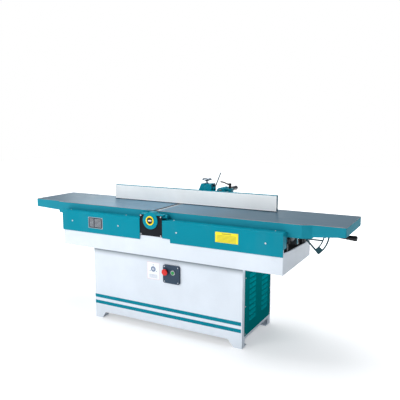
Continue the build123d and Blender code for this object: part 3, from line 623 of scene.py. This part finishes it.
def vent():
    lowest, pitch, rows = 0.172, 0.037, 9
    bm = bmesh.new()
    box_in(bm, stand_high.x, sheet_x, vent_low.y, vent_high.y, vent_low.z, vent_high.z)
    finish_piece("vent_sheet", bm, "vent_paint", "machine", ("vent_panel",), bevel=0.0008)
    bm = bmesh.new()
    for y_mid in (-0.107, 0.113):
        for row in range(rows):
            louvre(bm, y_mid, lowest + pitch * row, vent_high.x - sheet_x - 0.0004)
    # Painted light: the louvres get a lighter teal than the sheet they are pressed from, as if lit.
    paint = enamel("louvre_paint_lit", (0.0, 0.30, 0.33), rough=0.5, gloss=0.0, coat=0.0, dirt=0.02)
    finish_piece("vent_louvres", bm, "vent_paint", "machine", material=paint.material)


# ------------------------------------------------------------------ plates and labels
def plain_material(name, colour, rough):
    s = Shader(name)
    s.colour(s.mix(s.noise(40.0, 4.0), shade(colour, 0.93), shade(colour, 1.05)))
    s.put("Roughness", s.ramp(s.noise(90.0, 4.0), 0.3, 0.7, rough - 0.05, rough + 0.08))
    s.put("Specular IOR Level", 0.3)
    s.bump([(s.noise(500.0, 2.0), 0.06)], 0.0001)
    return s.material


def label(name, bounds, y_back, thick, corner, face, border, margin, rows, ink):
    """A blank plate: border, inner field and plain bars where rows of text would be."""
    x0, x1, z0, z1 = bounds
    y_front = y_back - thick
    bm = bmesh.new()
    rounded_plate(bm, x0, x1, z0, z1, y_back, y_front, corner)
    finish_piece(name + "_border", bm, "plate_metal", "machine", bevel=0.0002, material=border)
    bm = bmesh.new()
    rounded_plate(bm, x0 + margin, x1 - margin, z0 + margin, z1 - margin, y_front + 0.0002,
                  y_front - 0.00015, max(corner - margin, 0.001))
    finish_piece(name + "_field", bm, "plate_metal", "machine", material=face)
    bm = bmesh.new()
    for bx0, bx1, bz0, bz1 in rows:
        rounded_plate(bm, bx0, bx1, bz0, bz1, y_front, y_front - 0.0003, (bz1 - bz0) * 0.3, 3)
    finish_piece(name + "_bars", bm, "plate_metal", "machine", material=ink)


def bars(x0, x1, top, pitch, count, half):
    """Bounds of plain bars in a column, the first one at the top."""
    heights = [top - pitch * k for k in range(count)]
    return [(x0, x1, z - half, z + half) for z in heights]


def yellow_notice():
    face = plain_material("label_yellow", (0.80, 0.70, 0.02), 0.4)
    ink = plain_material("label_yellow_bars", (0.46, 0.38, 0.03), 0.5)
    rows = bars(0.436, 0.570, 0.750, 0.008, 6, 0.0016)
    rows.append((0.470, 0.536, 0.7585, 0.7655))
    bounds = (0.422, 0.584, 0.704, 0.772)
    label("notice_yellow", bounds, face_y, 0.0004, 0.002, face, face, 0.0006, rows, ink)


def white_notice():
    face = plain_material("label_white", (0.80, 0.82, 0.86), 0.4)
    border = plain_material("label_pink", (0.76, 0.50, 0.52), 0.4)
    ink = plain_material("label_grey_bars", (0.36, 0.42, 0.52), 0.5)
    rows = bars(-0.110, -0.043, 0.406, 0.007, 4, 0.0014)
    bounds = (-0.128, -0.025, 0.373, 0.495)
    label("notice_white", bounds, stand_y, 0.0003, 0.004, face, border, 0.002, rows, ink)


def white_notice_discs():
    """A plain ring with a dot in it and three dots around it."""
    back, front, spread = 0.0003, 0.0008, 0.030
    centre = Vector((-0.0765, stand_y, 0.447))
    bm = bmesh.new()
    turned_ring(bm, [(0.0085, back), (0.0085, front), (0.0195, front), (0.0195, back)], centre, FRONT, 48)
    turned(bm, [(0.0042, back), (0.0042, front)], centre, FRONT, 32)
    for angle in (math.radians(a) for a in (90, 210, 330)):
        dot = centre + Vector((spread * math.cos(angle), 0, spread * math.sin(angle)))
        turned(bm, [(0.0034, back), (0.0034, front)], dot, FRONT, 24)
    blue = plain_material("label_disc", (0.16, 0.22, 0.34), 0.4)
    finish_piece("notice_white_discs", bm, "plate_metal", "machine", material=blue)


def rating_plate():
    dark = plain_material("plate_dark", (0.030, 0.032, 0.045), 0.32)
    silver = plain_material("plate_silver", (0.40, 0.43, 0.46), 0.35)
    rim, half_bar, rivet_inset = 0.003, 0.0016, 0.006
    low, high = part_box("rating_plate")
    bm = bmesh.new()
    rounded_plate(bm, low.x, high.x, low.z, high.z, high.y, low.y + 0.0004, 0.004)
    finish_piece("rating_plate_border", bm, "plate_metal", "machine", ("rating_plate",), bevel=0.0003,
                 material=silver)
    bm = bmesh.new()
    rounded_plate(bm, low.x + rim, high.x - rim, low.z + rim, high.z - rim, low.y + 0.0006,
                  low.y + 0.0002, 0.003)
    finish_piece("rating_plate_field", bm, "plate_metal", "machine", material=dark)
    bm = bmesh.new()
    for row in range(7):
        z = high.z - 0.014 - 0.009 * row
        for x0, x1 in ((low.x + 0.012, low.x + 0.050), (low.x + 0.060, high.x - 0.014)):
            rounded_plate(bm, x0, x1, z - half_bar, z + half_bar, low.y + 0.0004, low.y, 0.0005, 3)
    finish_piece("rating_plate_bars", bm, "plate_metal", "machine", material=silver)
    bm = bmesh.new()
    for x in (low.x + rivet_inset, high.x - rivet_inset):
        for z in (low.z + rivet_inset, high.z - rivet_inset):
            button_screw(bm, (x, low.y + 0.0003, z), FRONT, 0.0020, 0.0008)
    finish_piece("rating_plate_rivets", bm, "steel", "machine")


# ------------------------------------------------------------------ push buttons
def collar(name, x, slot):
    profile = [(0.0126, -0.0002), (0.0126, 0.0052), (0.0134, 0.0060), (0.0152, 0.0058),
               (0.0168, 0.0044), (0.0170, 0.0000)]
    bm = bmesh.new()
    turned_ring(bm, profile, (x, switch_low.y, button_z), FRONT, 56)
    finish_piece(name, bm, slot, "machine", ("button_collars",))


def stop_button():
    low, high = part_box("stop_button")
    radius, length = 0.0230, high.y - low.y
    cap = length - 0.0100
    profile = [(0.0113, 0.0), (0.0113, length - 0.0105), (0.0205, cap), (0.0224, cap + 0.0008),
               (radius, cap + 0.0024)]
    for angle in (math.radians(a) for a in (8, 18, 28, 38, 48, 58, 68, 78, 86)):
        profile.append((radius * math.cos(angle) ** 0.6, cap + 0.0030 + 0.0068 * math.sin(angle)))
    bm = bmesh.new()
    turned(bm, profile, (stop_x, high.y, button_z), FRONT, 64)
    finish_piece("stop_mushroom", bm, "red_plastic", "stop_button", ("stop_button",), smooth=0.9)


def start_button():
    low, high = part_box("start_button")
    length = high.y - low.y
    profile = [(0.0114, 0.0), (0.0114, length - 0.0024)]
    profile += arc(0.0094, length - 0.0022, 0.0020, 0, 80, 5)
    profile += [(0.0070, length - 0.0006), (0.0035, length - 0.0010), (0.0006, length - 0.0011)]
    bm = bmesh.new()
    turned(bm, profile, (start_x, high.y, button_z), FRONT, 56)
    finish_piece("start_cap", bm, "green_plastic", "start_button", ("start_button",), smooth=0.9)


# ------------------------------------------------------------------ bearing cap
def bearing_cap():
    """Yellow ring and black seal on the housing; dark cap and bright bar on the shaft's end."""
    low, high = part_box("bearing_cap_ring")
    depth = high.y - low.y
    hub = Vector((-0.080, high.y, 0.797))
    bm = bmesh.new()
    turned_ring(bm, [(0.0232, 0.0), (0.0232, depth - 0.0010), (0.0242, depth), (0.0300, depth),
                     (0.0314, depth - 0.0006), (0.0320, depth - 0.0018), (0.0320, 0.0)], hub, FRONT, 96)
    finish_piece("bearing_ring", bm, "yellow_paint", "machine", ("bearing_cap_ring",))
    bm = bmesh.new()
    turned_ring(bm, [(0.0188, -0.0004), (0.0188, 0.0010), (0.0200, 0.0016), (0.0231, 0.0016),
                     (0.0231, -0.0004)], hub, FRONT, 72)
    finish_piece("bearing_seal", bm, "black_paint", "machine")
    bm = bmesh.new()
    turned(bm, [(0.0172, -0.0025), (0.0172, 0.0012), (0.0164, 0.0018), (0.0020, 0.0018)], hub, FRONT, 64)
    finish_piece("shaft_end_cap", bm, "black_plastic", "cutter")
    bm = bmesh.new()
    rounded_plate(bm, hub.x - 0.0135, hub.x + 0.0135, hub.z - 0.0040, hub.z + 0.0040, hub.y - 0.0016,
                  low.y + 0.0001, 0.0015, 3)
    finish_piece("shaft_end_bar", bm, "steel", "cutter", bevel=0.0003)


# ------------------------------------------------------------------ handles
def lever_grip():
    """A grip that swells towards its end, with four shallow finger waves."""
    lean = math.radians(1.6)
    pivot = Vector((0.868, 0.100, 0.743))
    along = Vector((math.cos(lean), 0, -math.sin(lean)))
    profile = [(0.0084, 0.0), (0.0112, 0.0012), (0.0118, 0.006)]
    for k in range(1, 17):
        t = k / 16
        swell = 0.0118 + 0.0060 * t + 0.0006 * math.cos(2 * math.pi * 4 * t)
        profile.append((swell - 0.0006, 0.006 + 0.092 * t))
    profile += arc(0.0100, 0.1080, 0.0080, 20, 84, 6)
    profile.append((0.0008, 0.1162))
    bm = bmesh.new()
    turned(bm, profile, pivot + 0.2525 * along, along, 56)
    finish_piece("lever_grip_moulded", bm, "black_plastic", "lever", ("lever_grip",), smooth=1.0)


def guide_clamp_lever():
    """A stepped hub with a moulded arm that rises to its tip."""
    hub_x, hub_y, hub_top = 0.274, 0.240, 1.021
    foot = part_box("bar_clamp_lever")[0].z
    reach = hub_top - foot
    hub = [(0.0060, 0.0), (0.0060, 0.0430), (0.0105, 0.0440), (0.0112, 0.0460), (0.0100, 0.0600),
           (0.0108, 0.0740), (0.0110, reach - 0.0030), (0.0096, reach - 0.0006), (0.0050, reach)]
    arm = [(0.274, 1.0120, 0.0080), (0.262, 1.0125, 0.0074), (0.250, 1.0150, 0.0062),
           (0.238, 1.0195, 0.0056), (0.226, 1.0240, 0.0056), (0.214, 1.0265, 0.0062),
           (0.204, 1.0275, 0.0064), (0.196, 1.0275, 0.0052), (0.193, 1.0275, 0.0020)]
    bm = bmesh.new()
    turned(bm, hub, (hub_x, hub_y, foot), UP, 48)
    swept(bm, [(x, hub_y, z) for x, z, radius in arm], [radius for x, z, radius in arm], 0.9)
    finish_piece("clamp_lever_moulded", bm, "black_plastic", "bar_lever", ("bar_clamp_lever",), smooth=1.0)


def handwheel():
    """A round bright rim on a dished web, with a stem and a nut."""
    rim_steel = metal("rim_steel", (0.34, 0.38, 0.42), rough=0.22, spots=0.04, strength=0.03).material
    middle = midpoint("handwheel_rim")
    centre = (middle.x, middle.y, 0)
    rim_radius, rim_z = 0.0332, 1.048
    half_wide, half_high = 0.0048, 0.0059
    loop = []
    for angle in (math.radians(a) for a in range(0, 360, 20)):
        loop.append((rim_radius + half_wide * math.cos(angle), rim_z + half_high * math.sin(angle)))
    bm = bmesh.new()
    turned_ring(bm, loop, centre, UP, 80)
    finish_piece("handwheel_rim_turned", bm, "chrome", "handwheel", ("handwheel_rim",), smooth=1.2,
                 material=rim_steel)
    stem_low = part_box("handwheel")[0].z
    dish = [(0.0080, stem_low), (0.0080, 1.0178), (0.0116, 1.0186), (0.0116, 1.0226), (0.0104, 1.0234),
            (0.0072, 1.0240), (0.0070, 1.0330), (0.0120, 1.0345), (0.0200, 1.0384), (0.0262, 1.0424),
            (0.0283, 1.0450), (0.0284, 1.0484), (0.0262, 1.0478), (0.0200, 1.0434), (0.0120, 1.0402),
            (0.0086, 1.0396), (0.0082, 1.0412), (0.0070, 1.0420), (0.0010, 1.0424)]
    bm = bmesh.new()
    turned(bm, dish, centre, UP, 64)
    finish_piece("handwheel_dish", bm, "steel", "handwheel", ("handwheel",), smooth=0.8,
                 material=rim_steel)


cover_screw_heads()
panel_screw_heads()
vent()
yellow_notice()
white_notice()
white_notice_discs()
rating_plate()
collar("stop_collar", stop_x, "plate_metal")
collar("start_collar", start_x, "steel")
stop_button()
start_button()
bearing_cap()
lever_grip()
guide_clamp_lever()
handwheel()

# ------------------------------------------------------------------ stage
def paper_floor():
    """A pale floor that glows more with distance, so that it ends in white."""
    reach = 14.0
    s = Shader("floor_paper")
    s.colour(s.mix(s.noise(1.3, 3.0), (0.74, 0.74, 0.74), (0.77, 0.77, 0.77)))
    s.put("Roughness", 0.9)
    s.put("Emission Color", (1.0, 1.0, 1.0))
    square_x = s.math("MULTIPLY", s.axis(0), s.axis(0))
    square_y = s.math("MULTIPLY", s.axis(1), s.axis(1))
    distance = s.math("ADD", s.math("MULTIPLY", square_x, 0.6), square_y)
    s.put("Emission Strength", s.ramp(distance, 0.5, 5.5, 0.38, 1.05))
    mesh = bpy.data.meshes.new("floor")
    corners = [(-reach, -reach, 0), (reach, -reach, 0), (reach, reach, 0), (-reach, reach, 0)]
    mesh.from_pydata(corners, [], [(0, 1, 2, 3)])
    mesh.materials.append(s.material)
    add_object("floor", mesh)


def studio_world():
    """White to the camera; for light, pale on the left and dark blue on the right."""
    pale_left, dark_right = (0.66, 0.69, 0.72, 1.0), (0.010, 0.030, 0.060, 1.0)
    world = bpy.data.worlds.new("studio")
    bpy.context.scene.world = world
    world.use_nodes = True
    tree = world.node_tree
    seen = tree.nodes["Background"]
    seen.inputs["Color"].default_value = (1.0, 1.0, 1.0, 1.0)
    seen.inputs["Strength"].default_value = 1.0
    around = tree.nodes.new("ShaderNodeBackground")
    direction = tree.nodes.new("ShaderNodeTexCoord")
    split = tree.nodes.new("ShaderNodeSeparateXYZ")
    tree.links.new(direction.outputs["Generated"], split.inputs[0])
    fade = tree.nodes.new("ShaderNodeMapRange")
    fade.inputs["From Min"].default_value = -0.25
    fade.inputs["From Max"].default_value = 0.55
    tree.links.new(split.outputs["X"], fade.inputs["Value"])
    tint = tree.nodes.new("ShaderNodeMix")
    tint.data_type = "RGBA"
    left_end, right_end = [socket for socket in tint.inputs if socket.type == "RGBA"]
    left_end.default_value = pale_left
    right_end.default_value = dark_right
    tree.links.new(fade.outputs["Result"], tint.inputs[0])
    tint_out = [socket for socket in tint.outputs if socket.type == "RGBA"][0]
    tree.links.new(tint_out, around.inputs["Color"])
    path = tree.nodes.new("ShaderNodeLightPath")
    choose = tree.nodes.new("ShaderNodeMixShader")
    tree.links.new(path.outputs["Is Camera Ray"], choose.inputs[0])
    tree.links.new(around.outputs[0], choose.inputs[1])
    tree.links.new(seen.outputs[0], choose.inputs[2])
    tree.links.new(choose.outputs[0], tree.nodes["World Output"].inputs["Surface"])


def area_light(name, place, target, size, power, tint=(1.0, 1.0, 1.0)):
    data = bpy.data.lights.new(name, "AREA")
    data.shape = "RECTANGLE"
    data.size, data.size_y = size
    data.energy = power
    data.color = tint
    lamp = bpy.data.objects.new(name, data)
    bpy.context.scene.collection.objects.link(lamp)
    lamp.location = place
    direction = Vector(target) - Vector(place)
    lamp.rotation_euler = direction.to_track_quat("-Z", "Y").to_euler()


def studio_camera(place, target, lens):
    data = bpy.data.cameras.new("camera")
    data.lens = lens
    data.sensor_width = 36.0
    data.dof.use_dof = False
    camera = bpy.data.objects.new("camera", data)
    bpy.context.scene.collection.objects.link(camera)
    camera.location = place
    direction = Vector(target) - camera.location
    camera.rotation_euler = direction.to_track_quat("-Z", "Y").to_euler()
    bpy.context.scene.camera = camera


paper_floor()
studio_world()
area_light("key", (-1.6, -4.4, 2.8), (0, 0, 0.95), (3.4, 2.4), 120)
area_light("top", (-0.3, 0.5, 4.5), (-0.1, 0, 0.8), (3.6, 2.5), 118)
area_light("side", (4.6, -0.6, 1.9), (0, 0, 0.6), (2.0, 2.2), 1.0, (0.45, 0.75, 1.0))
area_light("back", (-2.5, 3.9, 1.85), (-0.2, 0, 0.857), (3.4, 1.4), 24, (0.86, 0.95, 1.0))
studio_camera((1.85435, -3.1378, 1.4582), (0.15055, 0.0, 0.9182), 45.44)
bpy.context.scene.view_settings.view_transform = "Standard"

bpy.context.view_layer.update()
